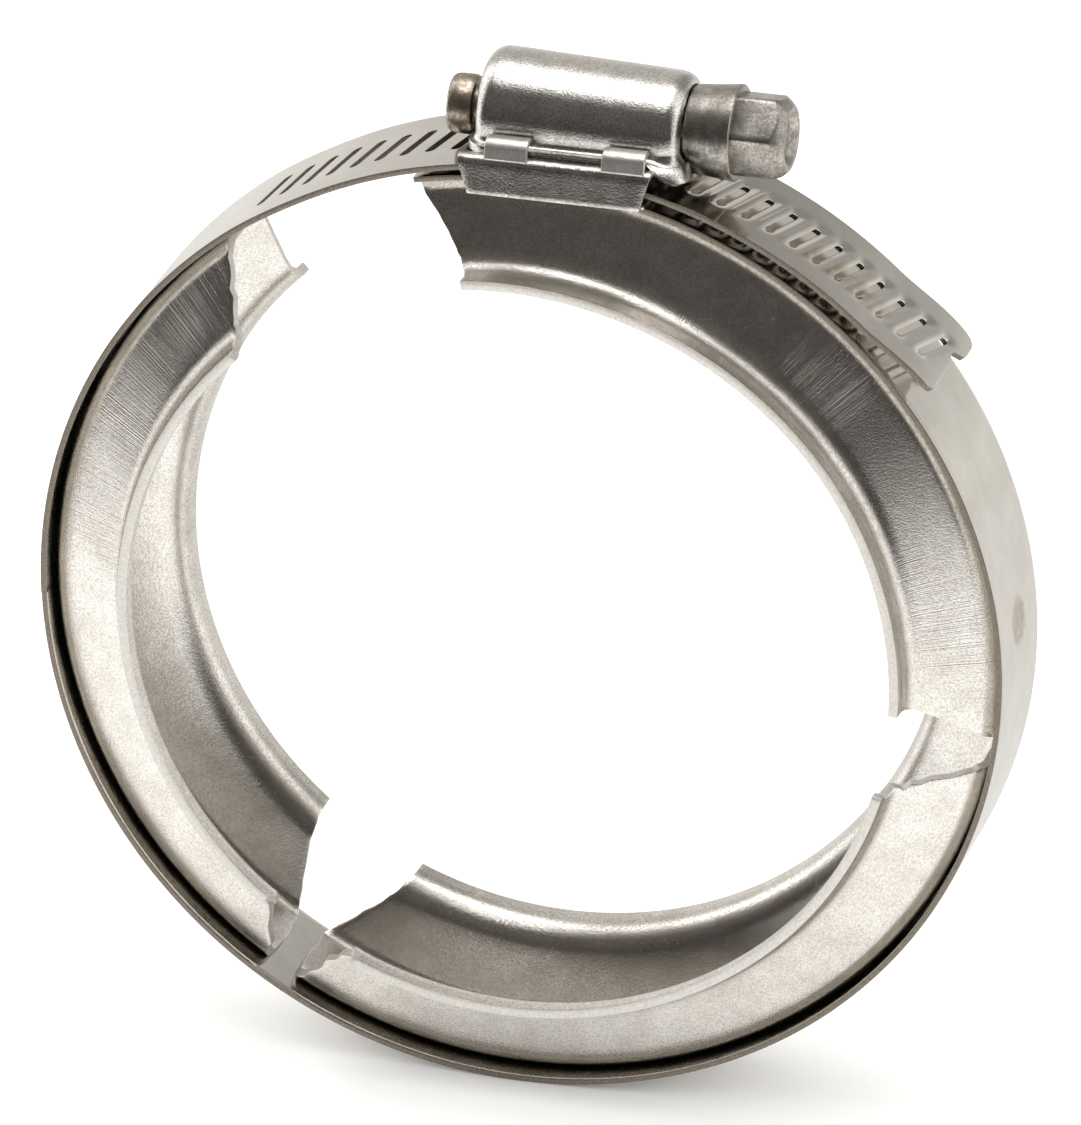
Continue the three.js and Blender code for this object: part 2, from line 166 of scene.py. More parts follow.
def mix_colour(tree, factor, first, second):
    node = tree.nodes.new("ShaderNodeMix")
    node.data_type = "RGBA"
    tree.links.new(factor, node.inputs["Factor"])
    for socket, colour in ((node.inputs["A"], first), (node.inputs["B"], second)):
        if isinstance(colour, tuple):
            socket.default_value = (*colour, 1.0)
        else:
            tree.links.new(colour, socket)
    return node.outputs["Result"]


def math_node(tree, operation, first, second):
    node = tree.nodes.new("ShaderNodeMath")
    node.operation = operation
    for socket, value in zip(node.inputs, (first, second)):
        if isinstance(value, float):
            socket.default_value = value
        else:
            tree.links.new(value, socket)
    return node.outputs["Value"]


def attribute(tree, name):
    node = tree.nodes.new("ShaderNodeAttribute")
    node.attribute_name = name
    return node.outputs["Fac"]


def bump(tree, shader, heights):
    """Chains bump nodes: (height socket, strength, distance in mm) each."""
    normal = None
    for height, strength, distance in heights:
        node = tree.nodes.new("ShaderNodeBump")
        node.inputs["Strength"].default_value = strength
        node.inputs["Distance"].default_value = distance * MM
        tree.links.new(height, node.inputs["Height"])
        if normal is not None:
            tree.links.new(normal, node.inputs["Normal"])
        normal = node.outputs["Normal"]
    tree.links.new(normal, shader.inputs["Normal"])


# Noise scales are per metre, and each range holds the noise values between which a change happens.
MOTTLE_RANGE, MOTTLE_BUMP = (0.35, 0.65), (0.06, 0.04)     # a bump is (strength, depth in millimetres)
GRAIN_ROUGH_RANGE, GRAIN_DEPTH = (0.3, 0.7), 0.05
SPECKLE_RANGE = (0.44, 0.62)
SPECKLE_SHADE = 0.5                    # the grain's dark spots, as a share of a steel's dark colour
SPECKLE_SHARE = 1.1                    # how strongly they show for each unit of grain
BLOTCH_SCALE, BLOTCH_RANGE, BLOTCH_LOWEST = 1400.0, (0.35, 0.6), 0.65
MARK_LINES, MARK_STRENGTH = 5.0, 0.5   # the tool marks' noise scale, per degree of the ring, and bump
MARK_PATCH_SCALE, MARK_PATCH_RANGE = 60.0, (0.48, 0.62)
EDGE_GRAIN_SCALE, EDGE_GRAIN_RANGE, EDGE_BUMP = 5200.0, (0.35, 0.65), (0.4, 0.05)


def chatter(tree):
    """Patches of fine tool marks on the retainers' near legs, from the ring angle stored on the mesh."""
    lines = tree.nodes.new("ShaderNodeTexNoise")
    lines.noise_dimensions = "1D"
    lines.inputs["Scale"].default_value = MARK_LINES
    lines.inputs["Detail"].default_value = 3.0
    tree.links.new(attribute(tree, "ring_angle"), lines.inputs["W"])
    patches = noise_node(tree, object_coordinates(tree), MARK_PATCH_SCALE, 2.0)
    patches = map_range(tree, patches, *MARK_PATCH_RANGE, 0.0, 1.0)
    patches = math_node(tree, "MULTIPLY", patches, attribute(tree, "near_side"))
    return math_node(tree, "MULTIPLY", lines.outputs["Fac"], patches)


def steel(name, light, dark, roughness, grain, grain_size, mottle_size, tint=None, marks=0.0):
    """A steel with mottled colour and grain. roughness is (low, high); sizes are in millimetres;
    tint is (attribute, colour, highest share) for a stain painted on the mesh; marks is the depth
    of the tool marks in millimetres."""
    material, tree, shader = new_material(name)
    place = object_coordinates(tree)
    mottle = noise_node(tree, place, 1 / (mottle_size * MM), 5.0, 0.6)
    fine = noise_node(tree, place, 1 / (grain_size * MM), 4.0, 0.65)
    colour = mix_colour(tree, map_range(tree, mottle, *MOTTLE_RANGE, 0.0, 1.0), dark, light)
    speckle = tuple(c * SPECKLE_SHADE for c in dark)
    spots = map_range(tree, fine, *SPECKLE_RANGE, 0.0, SPECKLE_SHARE * grain)
    colour = mix_colour(tree, spots, colour, speckle)
    if tint:
        painted, tint_colour, highest = tint
        share = map_range(tree, attribute(tree, painted), 0.0, 1.0, 0.0, highest)
        blotch = noise_node(tree, place, BLOTCH_SCALE, 3.0)
        blotch = map_range(tree, blotch, *BLOTCH_RANGE, BLOTCH_LOWEST, 1.0)
        colour = mix_colour(tree, math_node(tree, "MULTIPLY", share, blotch), colour, tint_colour)
    tree.links.new(colour, shader.inputs["Base Color"])
    shader.inputs["Metallic"].default_value = 1.0
    rough = map_range(tree, fine, *GRAIN_ROUGH_RANGE, *roughness)
    tree.links.new(rough, shader.inputs["Roughness"])
    heights = [(mottle, *MOTTLE_BUMP), (fine, grain, GRAIN_DEPTH)]
    if marks:
        heights.append((chatter(tree), MARK_STRENGTH, marks))
    bump(tree, shader, heights)
    return material


def cut_edge(name, light, dark, roughness, metallic):
    """The grainy cut edge of a sheet."""
    material, tree, shader = new_material(name)
    grain = noise_node(tree, object_coordinates(tree), EDGE_GRAIN_SCALE, 3.0, 0.6)
    colour = mix_colour(tree, map_range(tree, grain, *EDGE_GRAIN_RANGE, 0.0, 1.0), dark, light)
    tree.links.new(colour, shader.inputs["Base Color"])
    shader.inputs["Metallic"].default_value = metallic
    shader.inputs["Roughness"].default_value = roughness
    bump(tree, shader, [(grain, *EDGE_BUMP)])
    return material


retainer_steel = steel(
    "retainer_steel", (0.83, 0.795, 0.745), (0.70, 0.665, 0.615), (0.14, 0.28),
    grain=0.5, grain_size=0.2, mottle_size=3.4, marks=0.06)
band_steel = steel(
    "band_steel", (0.74, 0.715, 0.67), (0.66, 0.635, 0.59), (0.09, 0.16),
    grain=0.04, grain_size=0.2, mottle_size=5.0, tint=("stain", (0.36, 0.27, 0.19), 0.8))
dome_steel = steel(
    "dome_steel", (0.84, 0.82, 0.78), (0.66, 0.64, 0.60), (0.12, 0.24),
    grain=0.55, grain_size=0.2, mottle_size=2.4)
saddle_steel = steel(
    "saddle_steel", (0.76, 0.735, 0.69), (0.54, 0.515, 0.475), (0.14, 0.27),
    grain=0.55, grain_size=0.2, mottle_size=2.2)
tab_steel = steel(
    "tab_steel", (0.88, 0.86, 0.82), (0.74, 0.715, 0.67), (0.36, 0.50),
    grain=0.3, grain_size=0.2, mottle_size=1.5)
screw_steel = steel(
    "screw_steel", (0.57, 0.535, 0.485), (0.31, 0.29, 0.26), (0.24, 0.42),
    grain=0.5, grain_size=0.28, mottle_size=1.3)
boss_steel = steel(
    "boss_steel", (0.58, 0.50, 0.41), (0.33, 0.275, 0.215), (0.24, 0.42),
    grain=0.5, grain_size=0.35, mottle_size=1.0)
retainer_edge = cut_edge("retainer_edge", (0.68, 0.655, 0.61), (0.54, 0.515, 0.475), 0.42, 0.6)
# The band's cut edges are coloured dark brown as painted shade. This stands in for the darkness the near
# edge shows where it faces the front.
band_edge_painted_shade = cut_edge("band_edge_painted_shade", (0.26, 0.225, 0.185), (0.15, 0.128, 0.105), 0.42, 0.8)

# ---------------------------------------------------------------- mesh making


MERGE_WITHIN = 0.0005


def make_object(name, points, faces, material):
    mesh = bpy.data.meshes.new(name)
    mesh.from_pydata([tuple(c * MM for c in p) for p in points], [], faces)
    mesh.validate()
    mesh.materials.append(material)
    obj = bpy.data.objects.new(name, mesh)
    bpy.context.scene.collection.objects.link(obj)
    return obj


def paint(obj, name, values):
    """Stores one number for each vertex under a name that the materials can read."""
    layer = obj.data.attributes.new(name, "FLOAT", "POINT")
    layer.data.foreach_set("value", np.asarray(values, np.float32))


def merge_touching(obj):
    modifier = obj.modifiers.new("weld", "WELD")
    modifier.merge_threshold = MERGE_WITHIN * MM


def add_sheet(obj, thickness, offset=0.0, edge_material=None):
    modifier = obj.modifiers.new("sheet", "SOLIDIFY")
    if edge_material:
        obj.data.materials.append(edge_material)
        modifier.material_offset_rim = 1
    modifier.thickness = thickness * MM
    modifier.offset = offset
    modifier.use_even_offset = True


def finished(obj, edge, sharp=38.0, segments=2):
    """Rounds the sharp edges, applies every modifier and sets smooth shading up to an angle."""
    if edge:
        modifier = obj.modifiers.new("edge", "BEVEL")
        modifier.width = edge * MM
        modifier.segments = segments
        modifier.limit_method = "ANGLE"
        modifier.angle_limit = math.radians(sharp)
        modifier.use_clamp_overlap = True
    depsgraph = bpy.context.evaluated_depsgraph_get()
    mesh = bpy.data.meshes.new_from_object(obj.evaluated_get(depsgraph), depsgraph=depsgraph)
    obj.modifiers.clear()
    old = obj.data
    obj.data = mesh
    name = old.name
    bpy.data.meshes.remove(old)
    mesh.name = name
    mesh.polygons.foreach_set("use_smooth", [True] * len(mesh.polygons))
    mesh.set_sharp_from_angle(angle=math.radians(sharp))
    return obj


def grid_faces(rows, columns, wrap=False):
    """Quads of a grid stored row by row; wrap joins the last column to the first."""
    faces = []
    for i in range(rows - 1):
        here, above = i * columns, (i + 1) * columns
        for j in range(columns if wrap else columns - 1):
            n = (j + 1) % columns
            faces.append((here + j, here + n, above + n, above + j))
    return faces


def rounded_line(points, bends, steps, straight):
    """A polyline through points with its inner corners rounded, and even spacing on each straight."""
    made = []
    corners = [np.array(p, float) for p in points]
    arcs = []
    for i in range(1, len(corners) - 1):
        corner = corners[i]
        back = corners[i - 1] - corner
        ahead = corners[i + 1] - corner
        back /= np.linalg.norm(back)
        ahead /= np.linalg.norm(ahead)
        half = math.acos(max(-1.0, min(1.0, float(back @ ahead)))) / 2
        bend = bends[i - 1]
        middle = back + ahead
        middle /= np.linalg.norm(middle)
        centre = corner + middle * bend / math.sin(half)
        start = corner + back * bend / math.tan(half) - centre
        end = corner + ahead * bend / math.tan(half) - centre
        sweep = math.atan2(start[0] * end[1] - start[1] * end[0], float(start @ end))
        arc = []
        for k in range(steps + 1):
            c, s = math.cos(sweep * k / steps), math.sin(sweep * k / steps)
            arc.append(centre + np.array((c * start[0] - s * start[1], s * start[0] + c * start[1])))
        arcs.append(arc)
    last = corners[0]
    for arc in arcs + [[corners[-1]]]:
        for k in range(1 if made else 0, straight):
            made.append(last + (arc[0] - last) * k / straight)
        made.extend(arc)
        last = arc[-1]
    return [tuple(p) for p in made]


# ---------------------------------------------------------------- V retainers

RETAINER_BENDS = (3.3, 2.1, 2.1, 3.3)
RETAINER_ROWS = 128

# For each end: angle at the base, at the near lip and at the far lip, tear height in mm, seed.
RETAINER_ENDS = {
    "retainer_top": ((102.8, 96.6, 95.6, 0.3, 1), (-7.4, -3.0, -6.6, 0.05, 2)),
    "retainer_lower": ((-10.9, -16.6, -12.8, 0.8, 3), (-119.8, -114.0, -113.2, 0.9, 4)),
    "retainer_left": ((-123.4, -129.2, -130.0, 0.9, 5), (-231.8, -225.4, -226.6, 0.45, 6)),
}
FAR_TEAR = 0.2                         # the far legs are cut cleaner than the near ones
TEAR_COARSE, TEAR_FINE, TEAR_FINE_SHARE = 0.55, 2.1, 0.4   # noise scales per millimetre
TEAR_SEED_STEP = 20
TEAR_SPREAD = 12                       # how far the tear's noise moves on from base to lip
RETAINER_BODIES = {
    "retainer_top": "housing",
    "retainer_lower": "lower_segment",
    "retainer_left": "left_segment",
}


def retainer_line():
    top = RING_RADIUS - BAND_THICKNESS - SEAT_GAP - RETAINER_SHEET / 2
    side = [(RETAINER_BASE_HALF, top), RETAINER_KNEE, RETAINER_LIP]
    mirrored = [(-a, r) for a, r in reversed(side)]
    return rounded_line(mirrored + side, RETAINER_BENDS, 12, 6)


def end_angle(across, radius, end):
    """The angle of a retainer's end at one point of its section."""
    base, near_lip, far_lip, tear, seed = end
    top = RING_RADIUS - BAND_THICKNESS - SEAT_GAP - RETAINER_SHEET / 2
    depth = min(max((top - radius) / (top - RETAINER_LIP[1]), 0.0), 1.0)
    lip = near_lip if across < 0 else far_lip
    angle = lerp(base, lip, depth)
    place = across + (depth * TEAR_SPREAD if across > 0 else -depth * TEAR_SPREAD)
    tear *= lerp(1.0, FAR_TEAR, smoothstep(across, 0.0, RETAINER_BASE_HALF))
    jag = ragged(place, seed, TEAR_COARSE, tear)
    jag += ragged(place, seed + TEAR_SEED_STEP, TEAR_FINE, tear * TEAR_FINE_SHARE)
    return angle + math.degrees(jag / radius) * (0.35 + 0.65 * min(depth * 3, 1))


def build_retainer(name):
    start, end = RETAINER_ENDS[name]
    line = retainer_line()
    points, angles, near_side = [], [], []
    for i in range(RETAINER_ROWS + 1):
        for across, radius in line:
            first, last = end_angle(across, radius, start), end_angle(across, radius, end)
            angle = lerp(first, last, i / RETAINER_ROWS)
            points.append(polar(radius + ring_lift(angle), angle, across))
            angles.append(angle)
            near_side.append(1.0 if across < 0 else 0.0)
    faces = grid_faces(RETAINER_ROWS + 1, len(line))
    obj = make_object(name + "_pressing", points, faces, retainer_steel)
    paint(obj, "ring_angle", angles)
    paint(obj, "near_side", near_side)
    add_sheet(obj, RETAINER_SHEET, edge_material=retainer_edge)
    finished(obj, 0.12)
    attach(obj, RETAINER_BODIES[name])
    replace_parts(obj, name)
    return obj


for retainer_name in RETAINER_ENDS:
    build_retainer(retainer_name)

# ---------------------------------------------------------------- band

BAND_ROWS_ACROSS = 22
BAND_STEP = 0.8                        # degrees between rows
SEAM_LOWER, SEAM_LEFT = -65.0, -178.0
SEAM_TONGUE = 0.5                      # the lower run reaches this many degrees into both neighbours
SEAM_PLAY = 0.006                      # and lies this far inside their surfaces
WELD_ANGLES = (5.2, -42.0, -107.0, -140.0)
WELD_RADIUS, WELD_FADE, WELD_DIP = 2.7, 0.7, 0.05


def weld_mark(angle, across):
    """How strongly a spot weld marks the band at a place, from 0 to 1."""
    nearest = min(abs(angle - centre) for centre in WELD_ANGLES)
    distance = math.hypot(math.radians(nearest) * RING_RADIUS, across)
    return 1 - smoothstep(distance, WELD_RADIUS - WELD_FADE, WELD_RADIUS)


def no_lift(_angle):
    return 0.0


def across_values():
    return [lerp(-BAND_HALF, BAND_HALF, k / BAND_ROWS_ACROSS) for k in range(BAND_ROWS_ACROSS + 1)]


def band_sheet(name, first, last, lift, node, play=0.0):
    """A run of the band between two angles; play makes it thinner and narrower than its neighbours."""
    count = int(round((first - last) / BAND_STEP))
    rows = [y * (1 - play / BAND_HALF) for y in across_values()]
    points, stain = [], []
    for i in range(count + 1):
        angle = lerp(first, last, i / count)
        for y in rows:
            mark = weld_mark(angle, y)
            radius = RING_RADIUS - BAND_THICKNESS / 2 + lift(angle) - WELD_DIP * mark
            points.append(polar(radius, angle, y))
            stain.append(mark)
    obj = make_object(name, points, grid_faces(count + 1, len(rows)), band_steel)
    paint(obj, "stain", stain)
    add_sheet(obj, BAND_THICKNESS - 2 * play, edge_material=band_edge_painted_shade)
    finished(obj, 0.1)
    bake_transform(obj)
    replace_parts(obj, node)
    return obj


band_sheet("band_fixed_run", BAND_START, SEAM_LOWER, ring_lift,
           "band_fixed_section")
band_sheet("band_lower_run", SEAM_LOWER + SEAM_TONGUE, SEAM_LEFT - SEAM_TONGUE, no_lift,
           "band_lower_section", SEAM_PLAY)

# ---------------------------------------------------------------- slotted strap

SLOT_PITCH = (SLOT_FIRST - SLOT_LAST) / (SLOT_COUNT - 1)
PITCH_MM = math.radians(SLOT_PITCH) * STRAP_RADIUS
TILE_HALF = 4.3                        # half length of the tile that holds a slot
TILE_SIDE_STEPS, TILE_END_STEPS = 18, 8
TILE_LOOPS = (0.0, 0.09, 0.2, 0.32, 0.46, 0.62, 0.8, 1.0)
STRIP_ROWS = (5.1, 5.8, 6.3, 6.6, 6.82, 6.98, 7.09, BAND_HALF)
PLAIN_COLUMNS = 70                     # between the seam and the first slot
DISH_BELOW, DISH_FADE = 74.0, 4        # slots past the screw are dished by its thread; both in degrees
DISH_DEPTH, DISH_AT, DISH_WIDTH = 0.36, 0.15, 0.7
DISH_RIM, DISH_RIM_AT, DISH_RIM_WIDTH = 0.12, -0.85, 0.3
DISH_ACROSS = (2.4, 4.25)              # it fades out between these distances from the middle line
DISH_ALONG, DISH_BORDER = 0.95, 0.02   # and from here along the strap to just inside the tile's border
STAINED_SLOTS = {19: 0.5, 22: 0.8, 23: 1.0, 24: 0.9, 25: 0.5, 26: 0.25}
STAIN_ACROSS, STAIN_TO_BORDER = (-1.5, 1.2), (0.3, 1.0)
TAIL_COLUMNS = 8
TAIL_CORNER, TAIL_CORNER_SHARE = 1.2, 0.98
TAIL_NEAR_CUT, TAIL_FAR_CUT, TAIL_STEP_ACROSS = -0.35, 0.65, (2.2, 3.6)
TAIL_NOTCH, TAIL_NOTCH_AT, TAIL_NOTCH_WIDTH = 0.45, 1.6, 1.0
LAST_TILE_CUT = 1.3                    # the last slot's tile is shorter at the far edge, for the corner


def strap_point(alpha, along, across, drop=0.0):
    """A point of the strap's middle surface; along runs from a slot's centre towards the free end."""
    slanted = along + across * math.tan(math.radians(SLOT_SLANT))
    turned = math.radians(alpha) - slanted / STRAP_RADIUS
    x = STRAP_CENTRE_X + STRAP_RADIUS * math.cos(turned)
    z = STRAP_RADIUS * math.sin(turned)
    angle = math.degrees(math.atan2(z, x))
    return polar(RING_RADIUS - BAND_THICKNESS / 2 + strap_lift(angle) + drop, angle, across)


def slot_loop():
    """Matching points (along, across) of a slot's outline and of the tile's outline around it."""
    straight = SLOT_LENGTH / 2 - SLOT_WIDTH / 2
    radius = SLOT_WIDTH / 2
    pairs = []
    for sign in (1, -1):
        for k in range(TILE_SIDE_STEPS):
            share = -1 + 2 * k / TILE_SIDE_STEPS
            inner = (sign * radius, sign * share * straight)
            pairs.append((inner, (sign * PITCH_MM / 2, sign * share * TILE_HALF)))
        for k in range(TILE_END_STEPS):
            turn = math.pi * k / TILE_END_STEPS
            inner = (sign * radius * math.cos(turn), sign * (straight + radius * math.sin(turn)))
            pairs.append((inner, (sign * PITCH_MM * (0.5 - k / TILE_END_STEPS), sign * TILE_HALF)))
    return pairs


def dish(alpha, along, across):
    """How far the sheet is pressed in or pushed up around a slot that has passed the screw."""
    strength = smoothstep(DISH_BELOW + DISH_FADE / 2 - alpha, 0, DISH_FADE)
    reach = 1 - smoothstep(abs(across), *DISH_ACROSS)
    low = math.exp(-((along - DISH_AT) / DISH_WIDTH) ** 2)
    rim = math.exp(-((along - DISH_RIM_AT) / DISH_RIM_WIDTH) ** 2)
    inside = 1 - smoothstep(abs(along), DISH_ALONG, PITCH_MM / 2 - DISH_BORDER)
    return strength * reach * inside * (DISH_RIM * rim - DISH_DEPTH * low)


def last_border(across):
    """Where the last slot's tile ends towards the free end, from the slot's centre."""
    return PITCH_MM / 2 - LAST_TILE_CUT * smoothstep(across, TILE_HALF, BAND_HALF)


def tail_end(across):
    """Where the free end is cut, from the centre of the half slot that opens it."""
    back = max(abs(across) - (BAND_HALF - TAIL_CORNER), 0)
    corner = TAIL_CORNER - math.sqrt(max(TAIL_CORNER ** 2 - back ** 2, 0))
    notch = math.exp(-((across - TAIL_NOTCH_AT) / TAIL_NOTCH_WIDTH) ** 2)
    step = smoothstep(across, *TAIL_STEP_ACROSS)
    cut = lerp(TAIL_NEAR_CUT, TAIL_FAR_CUT, step) - TAIL_NOTCH * notch
    return cut - across * math.tan(math.radians(SLOT_SLANT)) - corner * TAIL_CORNER_SHARE


class StrapMesh:
    """The strap's points, faces and stain, collected while its stretches are added."""

    def __init__(self):
        self.points, self.faces, self.stain = [], [], []

    def add(self, point, mark=0.0):
        self.points.append(point)
        self.stain.append(mark)
        return len(self.points) - 1

    def join(self, rows, closed=False):
        """Faces between neighbouring rows; closed rows end where they start."""
        for a, b in zip(rows, rows[1:]):
            for j in range(len(a) if closed else len(a) - 1):
                n = (j + 1) % len(a)
                self.faces.append((a[j], a[n], b[n], b[j]))


def add_plain_run(strap, across_rows):
    """From the seam to the first slot's tile."""
    columns = []
    for i in range(PLAIN_COLUMNS + 1):
        column = []
        for y in across_rows:
            ahead = strap_point(SLOT_FIRST, -PITCH_MM / 2, y)
            last = math.degrees(math.atan2(ahead[2], ahead[0]))
            angle = lerp(SEAM_LEFT + 360, last, i / PLAIN_COLUMNS)
            radius = RING_RADIUS - BAND_THICKNESS / 2 + strap_lift(angle)
            column.append(strap.add(polar(radius, angle, y)))
        columns.append(column)
    strap.join(columns)


def add_slot(strap, k, pairs):
    """Slot number k: the loops of its tile, then the plain strips on both sides of the tile."""
    alpha = SLOT_FIRST - k * SLOT_PITCH
    mark = STAINED_SLOTS.get(k, 0.0)
    loops = []
    for t in TILE_LOOPS:
        loop = []
        for inner, outer in pairs:
            along, y = lerp(inner[0], outer[0], t), lerp(inner[1], outer[1], t)
            fade = (1 - smoothstep(y, *STAIN_ACROSS)) * (1 - smoothstep(t, *STAIN_TO_BORDER))
            loop.append(strap.add(strap_point(alpha, along, y, dish(alpha, along, y)), mark * fade))
        loops.append(loop)
    strap.join(loops, closed=True)
    for sign in (1, -1):
        rows = []
        for y in (TILE_HALF, *STRIP_ROWS):
            border = last_border(sign * y) if k == SLOT_COUNT - 1 else PITCH_MM / 2
            row = []
            for m in range(TILE_END_STEPS + 1):
                along = lerp(-PITCH_MM / 2, border, m / TILE_END_STEPS)
                row.append(strap.add(strap_point(alpha, along, sign * y)))
            rows.append(row)
        strap.join(rows if sign < 0 else rows[::-1])


def add_free_end(strap, across_rows):
    """The end past the last slot, opened by half a slot."""
    alpha = SLOT_FIRST - SLOT_COUNT * SLOT_PITCH
    columns = []
    for i in range(TAIL_COLUMNS + 1):
        column = []
        for y in across_rows:
            along = lerp(last_border(y) - PITCH_MM, tail_end(y), i / TAIL_COLUMNS)
            column.append(strap.add(strap_point(alpha, along, y)))
        columns.append(column)
    strap.join(columns)


def build_strap():
    tile_rows = [-TILE_HALF + 2 * TILE_HALF * k / TILE_SIDE_STEPS for k in range(TILE_SIDE_STEPS + 1)]
    across_rows = [-y for y in reversed(STRIP_ROWS)] + tile_rows + list(STRIP_ROWS)
    strap = StrapMesh()
    add_plain_run(strap, across_rows)
    pairs = slot_loop()
    for k in range(SLOT_COUNT):
        add_slot(strap, k, pairs)
    add_free_end(strap, across_rows)
    obj = make_object("slotted_strap_run", strap.points, strap.faces, band_steel)
    paint(obj, "stain", strap.stain)
    merge_touching(obj)
    add_sheet(obj, BAND_THICKNESS, edge_material=band_edge_painted_shade)
    finished(obj, 0.06, 50.0)
    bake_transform(obj)
    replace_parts(obj, "band_left_section", "slotted_strap")
    return obj


build_strap()

# ---------------------------------------------------------------- housing: dome

HOLE_BOSS, HOLE_COLLAR = 3.25, 4.3
FILLET = 0.55
ARCH_STEPS, ROUND_STEPS, BODY_ROWS = 36, 9, 22
FLANGE_STEPS, FILLET_STEPS, SIDE_STEPS, FACE_STEPS = 4, 6, 3, 3
BOSS_ROUND_SHARE = 0.62                # how far the rounding at the boss end has shrunk towards the hole
FLARE_FROM, FLARE_TO = 12.9, 15.0      # the foot opens out at the hex end
FLARE_OUT, FLARE_DROP = 0.95, 1.55


def dome_arch():
    """The dome's section as (side, (kind, share)), from the near flange's edge over to the far one's."""
    half = [("flange", k / FLANGE_STEPS) for k in range(FLANGE_STEPS)]
    half += [("fillet", k / FILLET_STEPS) for k in range(FILLET_STEPS + 1)]
    half += [("side", k / SIDE_STEPS) for k in range(1, SIDE_STEPS)]
    arch = [("arch", k / ARCH_STEPS) for k in range(ARCH_STEPS + 1)]
    near = [(-1, column) for column in half]
    over = [(-1 if column[1] < 0.5 else 1, column) for column in arch]
    return near + over + [(1, column) for column in reversed(half)]


def dome_rows():
    """For each row: x, plan angle of the outline, share from the full section to the hole, which end."""
    rows = []
    for k in range(FACE_STEPS):
        rows.append((DOME_FROM, 90.0, lerp(1.0, BOSS_ROUND_SHARE, k / FACE_STEPS), -1))
    for k in range(ROUND_STEPS):
        turn = 90 - 90 * k / ROUND_STEPS
        x = DOME_FROM + DOME_ROUND * (1 - math.sin(math.radians(turn)))
        rows.append((x, turn, BOSS_ROUND_SHARE * (1 - math.cos(math.radians(turn))), -1))
    first, last = DOME_FROM + DOME_ROUND, DOME_TO - DOME_ROUND
    rows += [(lerp(first, last, k / BODY_ROWS), 0.0, 0.0, 1) for k in range(BODY_ROWS)]
    for k in range(ROUND_STEPS + 1):
        turn = 90 * k / ROUND_STEPS
        x = last + DOME_ROUND * math.sin(math.radians(turn))
        rows.append((x, turn, 1 - math.cos(math.radians(turn)), 1))
    return rows


def dome_point(row, column):
    x, turn, share, end = row
    side, (kind, along) = column
    hole = HOLE_BOSS if end < 0 else HOLE_COLLAR
    shrink = 1 - DOME_TAPER * (x - DOME_FROM) / (DOME_TO - DOME_FROM)

    def section(height):
        """The outline's half width at a height below the screw's axis, shrinking towards the hole."""
        return lerp(DOME_RADIUS, math.sqrt(max(hole ** 2 - (height - SCREW_HEIGHT) ** 2, 0.1)), share)

    plan_x, plan_y = math.sin(math.radians(turn)) * end, side * math.cos(math.radians(turn))
    flare = smoothstep(x, FLARE_FROM, FLARE_TO)
    top = FLANGE_TOP + FILLET
    if kind == "arch":
        turned = math.pi * (1 - along)
        outer_z = DOME_FOOT + (SCREW_HEIGHT + DOME_RADIUS * math.sin(turned) - DOME_FOOT) * shrink
        z = lerp(outer_z, SCREW_HEIGHT + hole * math.sin(turned), share)
        y = lerp(DOME_RADIUS, hole, share) * math.cos(turned)
        return (x, y, z)
    if kind == "side":
        low, high = top, DOME_FOOT + (SCREW_HEIGHT - DOME_FOOT) * lerp(shrink, 1.0, share)
        z = lerp(low, high, along)
        return (x, side * section(z), z)
    base = section(top)
    reach = FLANGE_HALF - DOME_RADIUS - FILLET
    corner = math.sin(math.radians(turn * 2)) if end > 0 else 0.0
    reach *= 1 - 0.9 * math.sin(math.radians(turn))
    flare_out = FLARE_OUT * flare * (0.35 + 0.65 * corner)
    if kind == "fillet":
        bend = math.radians(90 * (1 - along))
        out = FILLET * (1 - math.cos(bend)) * (1 + 0.5 * flare)
        z = top - FILLET * math.sin(bend) - flare * FLARE_DROP * 0.35 * math.sin(bend) ** 2
    else:
        share_out = 1 - along
        out = FILLET * (1 + 0.5 * flare) + (reach + flare_out) * share_out
        z = FLANGE_TOP - flare * (FLARE_DROP * 0.35 + FLARE_DROP * 0.75 * share_out ** 1.3)
    return (x + plan_x * out, side * base + plan_y * out, z)


def build_dome():
    columns, rows = dome_arch(), dome_rows()
    points = [dome_point(row, column) for row in rows for column in columns]
    obj = make_object("housing_dome_pressing", points, grid_faces(len(rows), len(columns)), dome_steel)
    add_sheet(obj, DOME_SHEET, 1.0)
    finished(obj, 0.14)
    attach(obj, "housing")
    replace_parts(obj, "housing_dome")


build_dome()

# ---------------------------------------------------------------- housing: saddle

SADDLE_STEPS = 26
SKIRT_SLANT = 1.3
FLOOR_ANGLES = (96.2, 74.5)
FLOOR_RADIUS, FLOOR_SHEET = 49.26, 0.42
FLOOR_ROWS, FLOOR_ACROSS = 16, (-7.9, -4, 0, 4, 7.9)
SKIRT_SLANT_RIGHT = 0.8                # the slant at the hex end, as a share of the one at the boss end
SKIRT_BEND, TAB_BEND = 0.6, 0.8
TAB_ROWS = 6
TAB_FLARE, TAB_FOOT_DROP = 0.45, 0.35  # the tab's foot, from its upright and below the saddle's edge
TAB_TIP_GAP, TAB_TIP_RISE = 0.4, 0.05  # its tip, from the dome's side and above its bend


def saddle_profile(side):
    half = SADDLE_SHEET / 2
    line = rounded_line([
        (SKIRT_HALF - half, SKIRT_HEIGHT),
        (SADDLE_EDGE_HALF - half, SADDLE_EDGE_HEIGHT - half),
        (SADDLE_EDGE_INSIDE, SADDLE_EDGE_HEIGHT - half),
    ], (SKIRT_BEND,), 8, 6)
    return [(side * y, z) for y, z in line]


